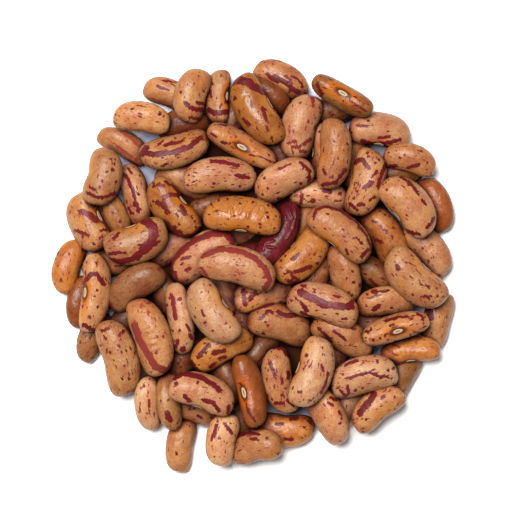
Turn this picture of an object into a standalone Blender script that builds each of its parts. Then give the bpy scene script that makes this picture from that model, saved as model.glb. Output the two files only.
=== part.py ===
"""A round heap of dried speckled beans, lying as it was poured, in metres with +Z up.

The origin is the middle of the heap, on the surface that it lies on. The heap is one solid: a low core with
the beans that show fused to it. Each bean is let go over its place and sinks between the others, and tips.
"""

import math
from collections import namedtuple

import bmesh
import bpy
import numpy as np
from mathutils import Matrix

# Sizes that drive the rest
PIXEL = 0.214e-3  # what one pixel of the photograph spans, from beans that are 15 mm long
PICTURE_MIDDLE = 260.0  # where the heap's middle is in the photograph, across and down, in pixels
THICK_SHARE = 0.80  # a bean's thickness as a share of its width
BEND_SHARE = 0.08  # how far a bean's ends curve towards its eye, as a share of its length
BLUNTNESS = 2.7  # 2 would give a bean the ends of an ellipse
EYE_DENT = 0.35e-3  # how deep the hollow at the eye is

CORE_RADIUS = 37e-3
CORE_HEIGHT = 4.5e-3
CORE_EDGE = 1.6e-3  # how thick the core is at its rim
CORE_POWER = 2.4  # how flat the core's top is before it falls to the rim
CORE_STEPS = 5
CORE_SIDES = 32

# How the beans settle: a row of balls stands for each bean while it sinks between the others
START_HEIGHTS = (3.4e-3, 7.0e-3, 11.5e-3)  # where the lower, middle and upper beans are let go
START_STEP = 0.03e-3  # each bean is let go this much higher than the one before
GIVES_WAY = (0.5, 0.25, 0.1)  # how much of a push sideways the lower, middle and upper beans take
BALLS = np.array([-0.74, -0.4, 0.0, 0.4, 0.74])  # where the balls are along half a bean
BALL_SHARE = 0.92
REACH = 19e-3  # beans with their middles further apart than this never touch
ROUNDS = 260
SINK = 0.12e-3  # how far a bean sinks in the first round, and less and less until the last
STIFF = 0.7  # the share of an overlap that one round takes away
LEVELLING = 0.06  # how strongly a bean that stands steep lies down again
HOMING = 0.08  # how strongly it comes back to its place
HEADING_HOLD = 0.12  # and to its heading

SIDES = (9, 6)  # sides of a bean's section, and stretches along it
LOWER_SIDES = (8, 4)  # the same for the lower beans, which hardly show
FACET_GAIN = 1.05  # makes up for what the flat facets cut off
FUSE_GAIN = 0.25e-3  # how much thicker a bean is than a real one, so that it joins its neighbours

# The beans that the photograph shows, the lowest first. Place across and down, and heading in degrees with
# the eye on its right, then length and width, all in pixels, and how far the eye is turned up.
Seen = namedtuple("Seen", "across down heading length width turn")
LOWER = (
    Seen(112, 214, 298, 58, 30, -20),
    Seen(185, 183, 330, 60, 34, 0),
    Seen(208, 204, 20, 56, 30, 0),
    Seen(172, 250, 30, 58, 32, 10),
    Seen(163, 292, 300, 56, 32, 0),
    Seen(150, 366, 285, 56, 32, -20),
    Seen(258, 350, 50, 56, 32, 0),
    Seen(228, 378, 298, 60, 32, -30),
    Seen(320, 272, 65, 58, 32, 0),
    Seen(303, 226, 68, 56, 30, -40),
    Seen(240, 242, 20, 54, 30, 0),
    Seen(184, 124, 8, 56, 30, 20),
    Seen(235, 118, 70, 54, 30, 0),
    Seen(279, 155, 290, 52, 30, 0),
    Seen(268, 92, 330, 56, 30, 0),
    Seen(338, 112, 20, 56, 32, 0),
    Seen(192, 414, 348, 56, 30, 0),
    Seen(226, 291, 300, 56, 30, 20),
    Seen(375, 273, 330, 60, 34, 0),
    Seen(403, 378, 60, 54, 30, 0),
    Seen(337, 362, 75, 56, 30, 0),
    Seen(168, 93, 340, 54, 30, 0),
    Seen(78, 299, 85, 54, 28, 0),
    Seen(94, 338, 60, 54, 28, 0),
    Seen(71, 267, 80, 56, 30, 0),
    Seen(437, 204, 290, 58, 30, 0),
    Seen(439, 321, 75, 56, 32, 0),
    Seen(326, 150, 268, 60, 34, 10),
    Seen(357, 160, 80, 56, 30, 0),
    Seen(182, 362, 35, 54, 30, 0),
    Seen(105, 265, 12, 54, 30, 0),
    Seen(398, 175, 20, 54, 30, 0),
    Seen(246, 421, 60, 52, 30, 0),
    Seen(124, 318, 40, 54, 30, 0),
    Seen(352, 403, 60, 54, 30, 0),
    Seen(367, 322, 175, 54, 30, 0),
    Seen(246, 322, 100, 52, 28, 0),
    Seen(256, 246, 352, 48, 34, 0),
)
MIDDLE = (
    Seen(122, 144, 330, 56, 28, 0),
    Seen(134, 194, 283, 64, 34, -60),
    Seen(86, 224, 114, 62, 38, 40),
    Seen(169, 402, 95, 58, 28, -30),
    Seen(149, 404, 275, 56, 28, -60),
    Seen(327, 412, 300, 70, 38, -20),
    Seen(378, 408, 38, 60, 32, -10),
    Seen(284, 430, 175, 58, 34, 10),
    Seen(256, 446, 10, 54, 34, -50),
    Seen(224, 440, 80, 54, 32, 0),
    Seen(181, 446, 80, 54, 30, 0),
    Seen(428, 249, 312, 64, 34, 5),
    Seen(345, 275, 280, 64, 34, -10),
    Seen(277, 236, 238, 76, 29, -10),
    Seen(263, 294, 15, 62, 34, -50),
    Seen(319, 197, 355, 60, 32, -10),
    Seen(257, 111, 119, 78, 38, 10),
    Seen(283, 179, 29, 64, 38, 5),
    Seen(302, 256, 227, 70, 36, 22),
    Seen(202, 256, 36, 74, 38, -20),
    Seen(281, 326, 344, 68, 38, -5),
    Seen(95, 293, 266, 79, 32, 35),
    Seen(117, 357, 285, 78, 38, -15),
    Seen(180, 318, 277, 72, 32, -75),
    Seen(142, 118, 352, 58, 32, -20),
    Seen(192, 95, 75, 54, 34, 0),
    Seen(219, 96, 88, 56, 28, 10),
    Seen(380, 131, 352, 62, 36, -10),
    Seen(410, 160, 345, 54, 30, 0),
    Seen(342, 96, 151, 68, 32, 80),
    Seen(281, 79, 335, 60, 30, 0),
    Seen(386, 301, 5, 58, 32, -15),
    Seen(386, 241, 293, 72, 36, 5),
    Seen(411, 352, 8, 62, 28, 75),
    Seen(343, 337, 330, 66, 36, -10),
    Seen(221, 349, 28, 66, 34, -20),
)
UPPER = (
    Seen(102, 177, 255, 58, 36, 0),
    Seen(238, 268, 346, 78, 38, -5),
    Seen(280, 381, 102, 68, 33, -10),
    Seen(312, 372, 251, 72, 38, 10),
    Seen(364, 377, 15, 68, 40, -10),
    Seen(340, 233, 322, 74, 36, 12),
    Seen(366, 182, 255, 70, 36, 8),
    Seen(415, 279, 137, 74, 40, 10),
    Seen(408, 206, 310, 70, 39, 5),
    Seen(333, 154, 266, 70, 34, 5),
    Seen(301, 127, 73, 68, 38, -20),
    Seen(243, 217, 354, 78, 38, 15),
    Seen(213, 312, 125, 70, 38, 10),
    Seen(202, 393, 341, 68, 36, 5),
    Seen(250, 391, 283, 74, 34, 64),
    Seen(137, 241, 200, 66, 40, 5),
    Seen(173, 209, 130, 68, 36, 25),
    Seen(150, 337, 288, 80, 39, -25),
    Seen(135, 287, 36, 67, 36, -20),
    Seen(175, 149, 197, 72, 38, -10),
    Seen(323, 305, 342, 74, 38, -10),
    Seen(395, 328, 16, 68, 32, 72),
    Seen(220, 177, 2, 74, 36, 0),
    Seen(242, 145, 332, 76, 34, 72),
)

# The beans as rows of numbers: their middles, headings, turns, lengths and widths, in metres and radians
Beans = namedtuple("Beans", "place heading turn length width give")


def clear_scene():
    for obj in list(bpy.data.objects):
        bpy.data.objects.remove(obj)


def from_photograph():
    """The beans of the lists above, at their real size and place."""
    layers = (LOWER, MIDDLE, UPPER)
    seen = np.array(LOWER + MIDDLE + UPPER)
    level = np.repeat(np.arange(3), [len(layer) for layer in layers])
    start = np.array(START_HEIGHTS)[level] + START_STEP * np.arange(len(seen))
    return Beans(
        np.column_stack(
            [(seen[:, 0] - PICTURE_MIDDLE) * PIXEL, (PICTURE_MIDDLE - seen[:, 1]) * PIXEL, start]
        ),
        np.radians(seen[:, 2]),
        np.radians(seen[:, 5]),
        seen[:, 3] * PIXEL,
        seen[:, 4] * PIXEL,
        np.array(GIVES_WAY)[level],
    )


def turning(axis, angle):
    """One turning matrix for each angle, about one axis or about an axis for each."""
    axis = np.broadcast_to(np.asarray(axis, float), (len(angle), 3))
    cross = np.zeros((len(angle), 3, 3))
    cross[:, [2, 0, 1], [1, 2, 0]] = axis
    cross[:, [1, 2, 0], [2, 0, 1]] = -axis
    sine, cosine = np.sin(angle)[:, None, None], np.cos(angle)[:, None, None]
    return np.eye(3) + sine * cross + (1 - cosine) * cross @ cross


def blunt_radius(along):
    """How wide a bean is at this share of its half length, as a share of its full width."""
    return (1 - np.abs(along) ** BLUNTNESS) ** (1 / BLUNTNESS)


def ball_rows(beans):
    """The balls that stand for each bean, in the bean's own directions, and their radii."""
    half = beans.length[:, None] / 2
    sag = BEND_SHARE * beans.length[:, None]
    rows = np.stack([BALLS * half, sag * (0.4 - BALLS**2), 0 * half + 0 * BALLS], axis=-1)
    radius = beans.width[:, None] * (1 + THICK_SHARE) / 4
    return rows, radius * blunt_radius(BALLS) * BALL_SHARE


def near_pairs(place):
    """Every pair of balls whose beans lie near each other."""
    apart = np.hypot(*(place[:, None, :2] - place[None, :, :2]).transpose(2, 0, 1))
    first, second = np.nonzero(np.triu(apart < REACH, 1))
    ball = np.arange(len(BALLS))
    one = first[:, None, None] * len(BALLS) + ball[:, None] + 0 * ball
    other = second[:, None, None] * len(BALLS) + ball[None, :] + 0 * ball[:, None]
    return one.ravel(), other.ravel()


def ball_pushes(balls, radius, one, other):
    """How far each ball is pushed by the balls that it overlaps and by the floor."""
    gap = balls[one] - balls[other]
    far = np.linalg.norm(gap, axis=1) + 1e-9
    over = radius[one] + radius[other] - far
    hit = over > 0
    half = 0.5 * gap[hit] * (over[hit] / far[hit])[:, None]
    push = np.zeros_like(balls)
    np.add.at(push, one[hit], half)
    np.add.at(push, other[hit], -half)
    push[:, 2] += np.clip(radius - balls[:, 2], 0, None)
    return push


def settle(beans):
    """Lets the beans sink between each other. Gives the middle and the turn of each."""
    home = beans.place[:, :2]
    place = beans.place.copy()
    turn = turning((0, 0, 1), beans.heading) @ turning((1, 0, 0), -beans.turn)
    rows, radius = ball_rows(beans)
    one, other = near_pairs(place)
    give = beans.give[:, None]
    for step in range(ROUNDS):
        arm = rows @ turn.transpose(0, 2, 1)
        balls = (place[:, None] + arm).reshape(-1, 3)
        push = ball_pushes(balls, radius.ravel(), one, other).reshape(arm.shape)
        touching = np.maximum((np.abs(push).sum(axis=2) > 0).sum(axis=1), 1)
        move = STIFF * push.sum(axis=1) / touching[:, None]
        move[:, 2] -= SINK * (1 - step / ROUNDS) ** 0.5
        move[:, :2] = move[:, :2] * give + HOMING * (home - place[:, :2])
        twist = STIFF * np.cross(arm, push).sum(axis=1) / (arm**2).sum(axis=(1, 2))[:, None]
        ahead = turn[:, :, 0]
        twist += LEVELLING * np.cross(ahead, ahead * (1, 1, 0))
        astray = beans.heading - np.arctan2(ahead[:, 1], ahead[:, 0])
        astray = (astray + math.pi) % (2 * math.pi) - math.pi
        twist[:, 2] = twist[:, 2] * beans.give + HEADING_HOLD * astray
        place += move
        angle = np.linalg.norm(twist, axis=1) + 1e-12
        turn = turning(twist / angle[:, None], angle) @ turn
    return place, turn


def unit_sphere(sides, rings):
    """A sphere of radius 1 as points and faces, with its poles on the X axis."""
    shape = bmesh.new()
    bmesh.ops.create_uvsphere(shape, u_segments=sides, v_segments=rings, radius=1.0)
    bmesh.ops.rotate(shape, verts=shape.verts, matrix=Matrix.Rotation(math.pi / 2, 3, "Y"))
    shape.verts.index_update()
    points = np.array([v.co for v in shape.verts])
    faces = [[v.index for v in face.verts] for face in shape.faces]
    shape.free()
    return points, faces


def bean_form(sphere, length, width):
    """The sphere's points moved to a kidney shape: long in X, its eye at -Y, its flat sides up and down."""
    along = np.clip(sphere[:, 0], -1, 1)
    round_radius = np.maximum(np.hypot(sphere[:, 1], sphere[:, 2]), 1e-9)
    side = sphere[:, 1] / round_radius
    flat = sphere[:, 2] / round_radius
    sag = BEND_SHARE * length
    dent = EYE_DENT * np.exp(-((along / 0.28) ** 2)) * np.clip(-side, 0, 1) ** 4
    return np.stack(
        [
            along * length / 2,
            side * blunt_radius(along) * width / 2 + sag * (0.4 - along**2) + dent,
            flat * blunt_radius(along) * THICK_SHARE * width / 2,
        ],
        axis=1,
    )


def bean_skin_material():
    skin = bpy.data.materials.new("bean_skin")
    skin.use_nodes = True
    shader = skin.node_tree.nodes["Principled BSDF"]
    shader.inputs["Base Color"].default_value = (0.46, 0.22, 0.10, 1.0)
    shader.inputs["Roughness"].default_value = 0.38
    shader.inputs["Metallic"].default_value = 0.0
    return skin


def core_height(radius):
    """How high the core stands at this distance from its middle."""
    return CORE_EDGE + (CORE_HEIGHT - CORE_EDGE) * (1 - (radius / CORE_RADIUS) ** CORE_POWER)


def make_core(collection):
    """A low dome: its profile runs from the top's middle out to the rim and back along the floor."""
    profile = [(r, 0.0, core_height(r)) for r in np.linspace(0, CORE_RADIUS, CORE_STEPS).tolist()]
    profile += [(CORE_RADIUS, 0.0, 0.0), (0.0, 0.0, 0.0)]
    mesh = bpy.data.meshes.new("bean_heap")
    mesh.from_pydata(profile, [(i, i + 1) for i in range(len(profile) - 1)], [])
    core = bpy.data.objects.new("bean_heap", mesh)
    collection.objects.link(core)
    screw = core.modifiers.new("turn", "SCREW")
    screw.steps = screw.render_steps = CORE_SIDES
    screw.use_merge_vertices = True
    screw.merge_threshold = 1e-5
    screw.use_smooth_shade = False
    return core


def make_beans(beans, collection):
    """A faceted bean for each, a little thick, with what would reach through the floor laid flat on it."""
    middles, turns = settle(beans)
    for number, (middle, turn) in enumerate(zip(middles, turns)):
        sphere, faces = unit_sphere(*(LOWER_SIDES if number < len(LOWER) else SIDES))
        form = bean_form(sphere, beans.length[number], beans.width[number] + FUSE_GAIN)
        points = FACET_GAIN * form @ turn.T + middle
        points[:, 2] = np.maximum(points[:, 2], 0.0)
        mesh = bpy.data.meshes.new(f"bean_{number:02d}")
        mesh.from_pydata(points.tolist(), [], faces)
        collection.objects.link(bpy.data.objects.new(mesh.name, mesh))


def join(core, collection):
    """One Boolean union of the core with all the beans, applied, after which the beans' own objects go."""
    union = core.modifiers.new("beans", "BOOLEAN")
    union.operation = "UNION"
    union.operand_type = "COLLECTION"
    union.collection = collection
    union.solver = "MANIFOLD"
    bpy.context.view_layer.update()
    graph = bpy.context.evaluated_depsgraph_get()
    core.data = bpy.data.meshes.new_from_object(core.evaluated_get(graph))
    core.modifiers.clear()
    for obj in list(collection.objects):
        bpy.data.objects.remove(obj)
    bpy.data.collections.remove(collection)


def keep_outer_skin(obj):
    """Fills the hollows that fusing sealed and drops loose scraps, so that one closed surface stays."""
    shape = bmesh.new()
    shape.from_mesh(obj.data)
    bmesh.ops.triangulate(shape, faces=shape.faces)
    islands, left = [], set(shape.verts)
    while left:
        edge = [left.pop()]
        island = set(edge)
        while edge:
            for link in edge.pop().link_edges:
                for vert in link.verts:
                    if vert in left:
                        left.remove(vert)
                        island.add(vert)
                        edge.append(vert)
        islands.append(island)
    islands.sort(key=len)
    print("closed surfaces in the union:", [len(island) for island in islands])
    bmesh.ops.delete(shape, geom=[v for island in islands[:-1] for v in island], context="VERTS")
    shape.to_mesh(obj.data)
    shape.free()


def main():
    clear_scene()
    heap = bpy.data.collections.new("bean_heap")
    bpy.context.scene.collection.children.link(heap)
    loose = bpy.data.collections.new("loose_beans")
    bpy.context.scene.collection.children.link(loose)
    core = make_core(heap)
    make_beans(from_photograph(), loose)
    join(core, loose)
    keep_outer_skin(core)
    core.data.materials.clear()
    core.data.materials.append(bean_skin_material())


main()
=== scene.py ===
import math

import bpy
import numpy as np
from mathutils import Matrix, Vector


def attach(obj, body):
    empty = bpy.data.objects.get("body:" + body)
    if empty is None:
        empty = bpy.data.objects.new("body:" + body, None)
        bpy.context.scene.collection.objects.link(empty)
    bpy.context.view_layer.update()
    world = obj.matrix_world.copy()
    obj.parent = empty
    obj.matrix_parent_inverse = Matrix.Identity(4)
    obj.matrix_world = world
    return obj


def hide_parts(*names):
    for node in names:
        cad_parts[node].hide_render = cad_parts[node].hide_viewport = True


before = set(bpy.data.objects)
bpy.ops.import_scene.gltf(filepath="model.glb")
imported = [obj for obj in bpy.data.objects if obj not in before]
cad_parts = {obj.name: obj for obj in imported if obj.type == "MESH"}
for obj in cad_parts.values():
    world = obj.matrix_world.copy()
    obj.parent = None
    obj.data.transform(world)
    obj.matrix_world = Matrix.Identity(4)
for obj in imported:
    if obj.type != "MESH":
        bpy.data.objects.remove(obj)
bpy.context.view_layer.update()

# The beans are laid out in pixels of the photograph, seen from straight above
layout = {
    "pixel": 0.214e-3,      # metres that one pixel spans
    "middle": 260.0,        # the heap's middle, across and down
    "thick": 0.80,          # a bean's thickness against its width
    "bend": 0.08,           # how far the ends curve towards the eye
    "belly": 0.4,           # and the middle away from it
    "blunt": 2.7,           # how blunt the ends are
    "dent": 0.35e-3,        # hollow at the eye
    "dentRun": 0.28,        # and its length along the bean
    "offFloor": 0.05e-3,    # nothing comes closer to the floor than this
    "unmarked": -12.0,      # depth of a point far from every marking, in pixels
    "seed": 4,
}


def bean(skin, at, heading, size, turn, **marks):
    return {"skin": skin, "at": at, "heading": heading, "size": size, "turn": turn, **marks}


# Each bean: its skin, place, heading, length and width, how far its eye is turned up, and its markings.
# A marking is its half width, then across and down of each point along it, and one point makes a fleck.
# The folds of a wrinkled bean are given in the same way
# Most low beans are darkened, in the shade skin or with low tones, as painted shade for how deep they lie; a
# few are lightened as painted light
lowBeans = [
    bean("shade", (112, 214), 298, (58, 30), -20),
    bean("tan", (185, 183), 330, (60, 34), 0),
    bean("shade", (208, 204), 20, (56, 30), 0, tone=-0.3),
    bean("rosy", (172, 250), 30, (58, 32), 10),
    bean("shade", (163, 292), 300, (56, 32), 0, tone=0.1),
    bean("brown", (150, 366), 285, (56, 32), -20, tone=-0.6),
    bean("brown", (258, 350), 50, (56, 32), 0, tone=-1),
    bean("brown", (228, 378), 298, (60, 32), -30, tone=-0.45),
    bean("tan", (320, 272), 65, (58, 32), 0),
    bean("tan", (303, 226), 68, (56, 30), -40, tone=0.3),
    bean("pale", (240, 242), 20, (54, 30), 0, tone=1),
    bean("chestnut", (184, 124), 8, (56, 30), 20, tone=0.1),
    bean("shade", (235, 118), 70, (54, 30), 0, tone=-0.4),
    bean("rosy", (279, 155), 290, (52, 30), 0, tone=-0.4),
    bean("chestnut", (268, 92), 330, (56, 30), 0, tone=-0.45),
    bean("shade", (338, 112), 20, (56, 32), 0, tone=-0.2),
    bean("brown", (192, 414), 348, (56, 30), 0, tone=0.2, marks=[
        (1.3, 184, 405, 189, 411), (1, 196, 419, 201, 422), (1.2, 193, 412), (1, 199, 412)]),
    bean("rosy", (226, 291), 300, (56, 30), 20, tone=1),
    bean("shade", (375, 273), 330, (60, 34), 0, tone=-0.3),
    bean("shade", (403, 378), 60, (54, 30), 0, tone=-0.1),
    bean("rosy", (337, 362), 75, (56, 30), 0, tone=-0.2),
    bean("tan", (168, 93), 340, (54, 30), 0),
    bean("chestnut", (78, 299), 85, (54, 28), 0, tone=0.1),
    bean("brown", (94, 338), 60, (54, 28), 0, tone=-0.2),
    bean("amber", (71, 267), 80, (56, 30), 0),
    bean("chestnut", (437, 204), 290, (58, 30), 0),
    bean("tan", (439, 321), 75, (56, 32), 0, marks=[(3, 427, 308, 430, 312, 431, 318)]),
    bean("rosy", (326, 150), 268, (60, 34), 10, tone=0.85),
    bean("amber", (357, 160), 80, (56, 30), 0, tone=1),
    bean("amber", (182, 362), 35, (54, 30), 0, tone=0.1),
    bean("tan", (105, 265), 12, (54, 30), 0, tone=0.7),
    bean("shade", (398, 175), 20, (54, 30), 0, tone=-0.2),
    bean("shade", (246, 421), 60, (52, 30), 0, tone=-0.4),
    bean("shade", (124, 318), 40, (54, 30), 0, tone=-1),
    bean("pale", (352, 403), 60, (54, 30), 0, tone=0.1),
    bean("shade", (367, 322), 175, (54, 30), 0),
    bean("pale", (246, 322), 100, (52, 28), 0, tone=1),
    bean("crimson", (256, 246), 352, (48, 34), 0, tone=1, folds=[
        (1.3, 248, 242, 252, 250), (1.2, 254, 240, 257, 247, 255, 253), (1.2, 260, 242, 262, 250),
        (1.1, 249, 247, 258, 245)]),
]
middleBeans = [
    bean("brown", (122, 144), 330, (56, 28), 0, tone=0.45, faded=0.9, marks=[
        (1, 120, 131, 130, 138, 140, 147), (0.8, 113, 143, 124, 151, 136, 160)]),
    bean("rosy", (134, 194), 283, (64, 34), -60, marks=[
        (1.5, 121, 172, 127, 178, 133, 192, 136, 203, 138, 212), (1, 127, 168, 131, 173),
        (1.5, 128, 208, 131, 213), (2.5, 134, 204)]),
    bean("tan", (86, 224), 114, (62, 38), 40, faded=0.1, marks=[
        (3, 82, 213, 88, 216, 95, 222), (1.5, 75, 232, 88, 237), (1.5, 101, 232, 106, 231),
        (1, 99, 240, 102, 238), (0.7, 97, 216, 106, 228), (1.5, 93, 246)]),
    bean("tan", (169, 402), 95, (58, 28), -30, tone=0, marks=[(2.5, 167, 412, 170, 420)]),
    bean("pale", (149, 404), 275, (56, 28), -60, tone=0.6, marks=[
        (0.8, 142, 388, 145, 385), (0.7, 141, 402, 141, 412), (0.7, 150, 400, 150, 414)]),
    bean("rosy", (327, 412), 300, (70, 38), -20, marks=[
        (1.5, 332, 397, 337, 399), (1.3, 329, 402, 333, 404), (1.3, 340, 411, 342, 414),
        (1.5, 345, 404, 348, 408), (1.3, 322, 395), (1.3, 341, 422)]),
    bean("tan", (378, 408), 38, (60, 32), -10, marks=[
        (3, 360, 413, 370, 400, 374, 394), (1.3, 381, 398, 384, 396)]),
    bean("amber", (284, 430), 175, (58, 34), 10, tone=0.7, marks=[
        (1.5, 275, 425, 281, 425), (1.5, 289, 420, 296, 419), (1.3, 307, 421, 310, 425),
        (1.3, 283, 440, 291, 440), (1.5, 303, 428)]),
    bean("tan", (256, 446), 10, (54, 34), -50, tone=0.25, marks=[
        (1.5, 238, 435, 247, 431, 258, 433), (1.3, 250, 437, 257, 438), (1.3, 266, 437)]),
    bean("pale", (224, 440), 80, (54, 32), 0, tone=0.8, marks=[
        (1.5, 213, 440, 218, 425), (1.5, 226, 424, 233, 433), (1.5, 220, 438)]),
    bean("tan", (181, 446), 80, (54, 30), 0, tone=0.5),
    bean("rosy", (428, 249), 312, (64, 34), 5, marks=[
        (1, 423, 248), (1, 427, 237), (1, 432, 230), (1, 443, 234)]),
    bean("brown", (345, 275), 280, (64, 34), -10, tone=0.45, marks=[
        (1.3, 331, 281, 333, 288), (1.3, 353, 271), (1.3, 348, 278), (1.2, 355, 282), (1.3, 341, 294),
        (1.3, 353, 295), (1.2, 361, 285)]),
    bean("crimson", (277, 236), 238, (76, 29), -10, tone=0, folds=[
        (1.3, 284, 202, 281, 209, 285, 217), (1.1, 289, 204, 289, 212, 292, 219),
        (1, 294, 208, 295, 218, 292, 229, 286, 239), (1.2, 263, 250, 265, 243, 273, 241),
        (1, 267, 247, 274, 248), (1, 283, 221, 279, 230, 274, 237)]),
    bean("rosy", (263, 294), 15, (62, 34), -50, marks=[(2, 243, 290, 245, 305), (2, 255, 293, 250, 300)]),
    bean("pale", (319, 197), 355, (60, 32), -10, tone=0.75, marks=[
        (2, 324, 192, 330, 193), (1.5, 302, 196, 301, 204), (2.5, 313, 202), (1.8, 340, 195)]),
    bean("ochre", (257, 111), 119, (78, 38), 10, tone=-0.25, marks=[
        (3.9, 232.6, 82, 240.8, 81, 249, 84, 256.2, 89), (2.9, 256.2, 89, 263.3, 93.6),
        (1.5, 267.4, 94, 273.6, 102, 277.7, 110, 281.8, 119, 283.3, 125),
        (1.8, 262.8, 109.5, 264.4, 115, 266.2, 121), (1.1, 266.9, 127.4, 267.4, 132.6),
        (1.2, 251, 103.3, 252.3, 108.5), (1, 234.1, 97.7, 235.1, 100.3), (1.6, 243.3, 120.3, 249.5, 126),
        (1.1, 257.4, 113.6), (0.7, 257.7, 105.4), (0.9, 239.2, 112), (0.8, 255.6, 132),
        (1.2, 271.5, 139.7), (1, 278.9, 128.5)]),
    bean("rosy", (283, 179), 29, (64, 38), 5, marks=[
        (1.5, 300, 162, 309, 170, 308, 185, 295, 190), (0.8, 275, 170, 290, 163),
        (1.2, 277, 197, 283, 198), (1.3, 264, 177), (1.3, 267, 187), (1.3, 262, 193), (1.3, 300, 182)]),
    bean("amber", (302, 256), 227, (70, 36), 22, marks=[
        (1.8, 295, 272, 303, 270, 310, 267), (1.5, 292, 277, 298, 280), (1.3, 287, 272, 291, 273),
        (1.5, 288, 281, 297, 283), (1.5, 292, 260, 298, 255), (1.2, 281, 261), (1.2, 285, 256),
        (1.3, 281, 268), (1.3, 284, 274), (1, 320, 257), (1, 317, 264)]),
    bean("rosy", (202, 256), 36, (74, 38), -20, faded=0.15, marks=[
        (2.8, 171, 280, 170, 262, 180, 252, 195, 240, 210, 234, 225, 233, 233, 242),
        (1.5, 182, 259, 190, 257), (1.5, 186, 270, 190, 268), (1.5, 175, 272, 176, 280)]),
    bean("brown", (281, 326), 344, (68, 38), -5, tone=0.3, marks=[
        (1.7, 253, 310, 265, 306, 272, 304), (1.5, 260, 320, 268, 311, 272, 313),
        (2, 278, 312, 285, 316, 295, 316), (1.2, 265, 322), (1.2, 268, 326), (1.2, 263, 334)]),
    bean("tan", (95, 293), 266, (79, 32), 35, marks=[
        (2, 85, 283, 93, 274, 98, 274, 105, 284), (2, 85, 325, 95, 331), (1.2, 96, 296), (1.2, 99, 307),
        (1.3, 91, 317), (1.3, 91, 327)]),
    bean("tan", (117, 357), 285, (78, 38), -15, tone=0.2, marks=[
        (1.7, 103, 330, 108, 328), (1.3, 119, 335, 123, 330), (1.3, 105, 338), (1.3, 100, 345),
        (2, 118, 345), (1.5, 125, 350), (1.3, 110, 352), (1.3, 124, 365), (1.5, 122, 378), (1.5, 129, 378)]),
    bean("pale", (180, 318), 277, (72, 32), -75, tone=0.4, marks=[
        (1.8, 172, 295, 174, 305, 176, 318), (1.5, 187, 325, 190, 330), (1.5, 178, 340, 176, 346),
        (1.5, 190, 334, 192, 338), (1.5, 170, 298), (1.7, 180, 299), (1.3, 182, 303), (1.3, 167, 305),
        (1.3, 180, 330), (1.2, 172, 330), (1.2, 195, 333), (3, 183, 349)]),
    bean("tan", (142, 118), 352, (58, 32), -20, tone=0.9, marks=[(1.5, 160, 115)]),
    bean("tan", (192, 95), 75, (54, 34), 0, marks=[
        (2, 186, 104, 190, 108, 195, 110, 205, 110), (1.5, 197, 103, 207, 105), (1.3, 190, 118, 198, 119),
        (1.2, 181, 93), (1.2, 204, 92)]),
    bean("tan", (219, 96), 88, (56, 28), 10, tone=0, marks=[
        (2.5, 210, 110, 215, 113, 220, 113, 228, 112), (1, 210, 88, 212, 97), (1.5, 228, 98, 230, 103)]),
    bean("rosy", (380, 131), 352, (62, 36), -10, marks=[
        (1, 357, 126, 367, 127), (1.7, 362, 142, 375, 145, 390, 143, 400, 140), (1.2, 378, 139, 390, 137)]),
    bean("brown", (410, 160), 345, (54, 30), 0, marks=[
        (1.5, 391, 166, 396, 166), (1.5, 408, 168, 418, 165), (1.3, 404, 155), (1.2, 399, 158)]),
    bean("amber", (342, 96), 151, (68, 32), 80, tone=-0.7, marks=[
        (1.5, 317, 85, 319, 90, 322, 95), (0.8, 346, 97, 355, 106, 365, 112), (1.2, 343, 102)]),
    bean("brown", (281, 79), 335, (60, 30), 0, tone=0.6, marks=[
        (1.6, 266, 75, 272, 80, 277, 83), (2.2, 274, 77, 282, 82, 289, 87, 294, 92, 298, 93),
        (1.3, 285, 77, 289, 80, 291, 86), (0.9, 298, 81, 301, 85), (0.7, 291, 78, 296, 79),
        (0.9, 276, 89, 279, 90), (1.2, 289, 92)]),
    bean("fawn", (386, 301), 5, (58, 32), -15, tone=0.4, marks=[
        (1.6, 372.4, 289.5, 377, 290.5), (0.9, 377, 290.5, 388.8, 289), (0.8, 369.4, 296.7, 376.5, 293.6),
        (2, 373.5, 308, 379, 304), (1, 367.3, 293.1), (1.1, 366.3, 304.4), (1.2, 391.4, 306.7),
        (0.9, 398.6, 308.2), (1, 369.9, 314.6), (0.6, 361.4, 306.9)]),
    bean("amber", (386, 241), 293, (72, 36), 5, tone=0.2, marks=[
        (1.3, 372, 222, 376, 223), (1, 384, 231, 386, 234), (1, 391, 237, 392, 241),
        (1.2, 376, 241, 381, 244), (1, 392, 229)]),
    bean("amber", (411, 352), 8, (62, 28), 75, tone=0.6, faded=0.6, marks=[
        (1.1, 394, 345, 400, 348), (0.8, 390, 352, 397, 356)]),
    bean("brown", (343, 337), 330, (66, 36), -10, tone=0.35, marks=[
        (1.4, 318, 328, 324, 334, 331, 341), (1.1, 333, 330.5, 339, 335, 345, 339.3),
        (1.2, 352, 328, 354, 329), (0.8, 332.2, 337.6), (0.8, 337.8, 341.7), (0.9, 354.7, 346.8)]),
    bean("amber", (221, 349), 28, (66, 34), -20, marks=[
        (2.2, 199, 357, 203, 351, 209, 345), (2, 213, 353, 224, 350), (1.5, 219, 358, 225, 357),
        (1.5, 210, 367, 215, 363), (2, 191, 362, 195, 368, 199, 372)]),
]
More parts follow.
